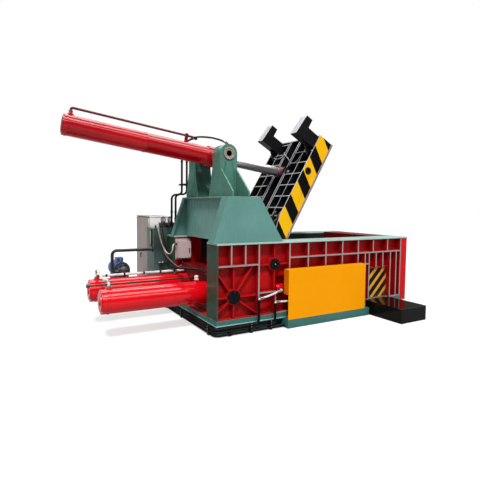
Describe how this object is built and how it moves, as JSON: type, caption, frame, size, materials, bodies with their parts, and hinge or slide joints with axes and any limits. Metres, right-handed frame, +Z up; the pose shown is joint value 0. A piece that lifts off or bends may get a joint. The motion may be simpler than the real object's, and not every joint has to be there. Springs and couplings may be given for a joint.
{
  "type": "recycling baler",
  "caption": "Horizontal scrap metal baler with a hinged press lid and its cylinder, paired main rams, a side ram, a sliding discharge gate and a hydraulic power unit.",
  "frame": {"origin": "on the floor under the middle of the press box", "axes": "+X towards the discharge end, +Y towards the power unit behind the press box, +Z up"},
  "size_m": [6.749, 5.646, 3.9418],
  "materials": {
    "wall_red": "gloss enamel",
    "block_red": "gloss enamel, worn",
    "base_green": "gloss enamel",
    "post_green": "gloss enamel",
    "rail_green": "gloss enamel",
    "pedestal_green": "gloss enamel",
    "tower_green": "gloss enamel",
    "wear_steel": "rolled plate, scratched",
    "cylinder_red": "gloss enamel",
    "gland_red": "gloss enamel",
    "chrome_rod": "ground and plated",
    "pin_black": "black paint",
    "bush": "machined, dull",
    "eye_dark": "dark, oiled",
    "lid_black": "black enamel",
    "side_yellow": "striped enamel",
    "press_worn": "worn plate",
    "gate_black": "striped enamel",
    "guide_steel": "greased",
    "cover_orange": "gloss enamel",
    "table_black": "high gloss",
    "ram_red": "worn enamel",
    "tank_green": "satin enamel",
    "fitting_dark": "phosphated",
    "motor_blue": "satin enamel",
    "skid_grey": "satin enamel",
    "cabinet_grey": "textured powder coat",
    "box_grey": "powder coat",
    "pipe_black": "black paint",
    "pipe_grey": "pale paint",
    "hose_black": "matt",
    "hose_wrap": "pale woven wrap",
    "handle_black": "moulded"
  },
  "bodies": {
    "frame": {"base_frame": "base_green", "floor_liner": "wear_steel", "corner_posts": "post_green", "front_wall": "wall_red", "rear_wall": "wall_red", "end_wall": "wall_red", "end_block": "block_red", "top_rails": "rail_green", "wall_liners": "wear_steel", "ram_bay_deck": "block_red", "cylinder_cradle": "block_red", "cross_pins": "pin_black", "main_barrels": "cylinder_red", "pedestal": "pedestal_green", "front_tower": "tower_green", "rear_tower": "tower_green", "tower_gussets": "pedestal_green", "trunnion_bushes": "bush", "hinge_shaft": "pin_black", "gate_guides": "guide_steel", "gate_barrel": "cylinder_red", "gate_sill": "guide_steel", "gate_cover": "cover_orange", "discharge_table": "table_black", "side_barrel": "cylinder_red", "side_support": "base_green", "oil_tank": "tank_green", "tank_fittings": "fitting_dark", "motor": "motor_blue", "pump": "fitting_dark", "power_skid": "skid_grey", "cabinet": "cabinet_grey", "junction_box": "box_grey", "tower_pipes": "pipe_black", "base_pipes": "pipe_black", "pipe_clamps": "pipe_black", "main_pipes": "pipe_grey", "gate_hoses": "hose_wrap"},
    "main_ram": {"main_ram": "ram_red", "main_rods": "chrome_rod", "ram_face": "wear_steel", "travel_rod": "eye_dark"},
    "lid": {"lid_frame": "lid_black", "lid_side_plates": "side_yellow", "press_plate": "press_worn", "lid_hooks": "lid_black"},
    "lid_cylinder": {"lid_barrel": "cylinder_red", "lid_gland": "gland_red", "lid_hoses": "hose_black"},
    "lid_rod": {"lid_rod": "chrome_rod", "rod_eye": "eye_dark", "lid_pin": "chrome_rod"},
    "gate": {"gate": "gate_black", "gate_rod": "chrome_rod"},
    "side_ram": {"side_ram": "ram_red", "side_rod": "chrome_rod"},
    "cabinet_door_near": {"cabinet_door_near": "cabinet_grey"},
    "cabinet_door_far": {"cabinet_door_far": "cabinet_grey"},
    "cabinet_latch": {"cabinet_latch": "handle_black"},
    "junction_door": {"junction_door": "box_grey"}
  },
  "joints": [
    {"name": "main_ram_slide", "type": "slide", "parent": "frame", "child": "main_ram", "axis": [1, 0, 0], "range_m": [0, 2.115]},
    {"name": "lid_hinge", "type": "hinge", "parent": "frame", "child": "lid", "pos_m": [-1.14, 0, 1.146], "axis": [0, 1, 0], "range_deg": [0, 60]},
    {"name": "cylinder_tilt", "type": "hinge", "parent": "frame", "child": "lid_cylinder", "pos_m": [-1.845, 0, 3.09], "axis": [0, 1, 0], "range_deg": [0, 28.5]},
    {"name": "lid_rod_slide", "type": "slide", "parent": "lid_cylinder", "child": "lid_rod", "axis": [0.9917, 0, -0.1287], "range_m": [0, 1.68]},
    {"name": "gate_slide", "type": "slide", "parent": "frame", "child": "gate", "axis": [-1, 0, 0], "range_m": [0, 0.645]},
    {"name": "side_ram_slide", "type": "slide", "parent": "frame", "child": "side_ram", "axis": [0, -1, 0], "range_m": [0, 1.77]},
    {"name": "near_door_hinge", "type": "hinge", "parent": "frame", "child": "cabinet_door_near", "pos_m": [-2.512, 1.8003, 1], "axis": [0, 0, 1], "range_deg": [0, 100]},
    {"name": "far_door_hinge", "type": "hinge", "parent": "frame", "child": "cabinet_door_far", "pos_m": [-2.512, 2.7443, 1], "axis": [0, 0, -1], "range_deg": [0, 110]},
    {"name": "latch_turn", "type": "hinge", "parent": "cabinet_door_far", "child": "cabinet_latch", "pos_m": [-2.53, 2.3223, 1.05], "axis": [1, 0, 0], "range_deg": [0, 90]},
    {"name": "junction_door_hinge", "type": "hinge", "parent": "frame", "child": "junction_door", "pos_m": [-2.253, 0.676, 1.275], "axis": [0, 0, -1], "range_deg": [0, 120]}
  ],
  "couplings": [
    {"joint": "cylinder_tilt", "follows": "lid_hinge", "ratio": 0.473},
    {"joint": "lid_rod_slide", "follows": "lid_hinge", "m_per_rad": 1.594}
  ]
}
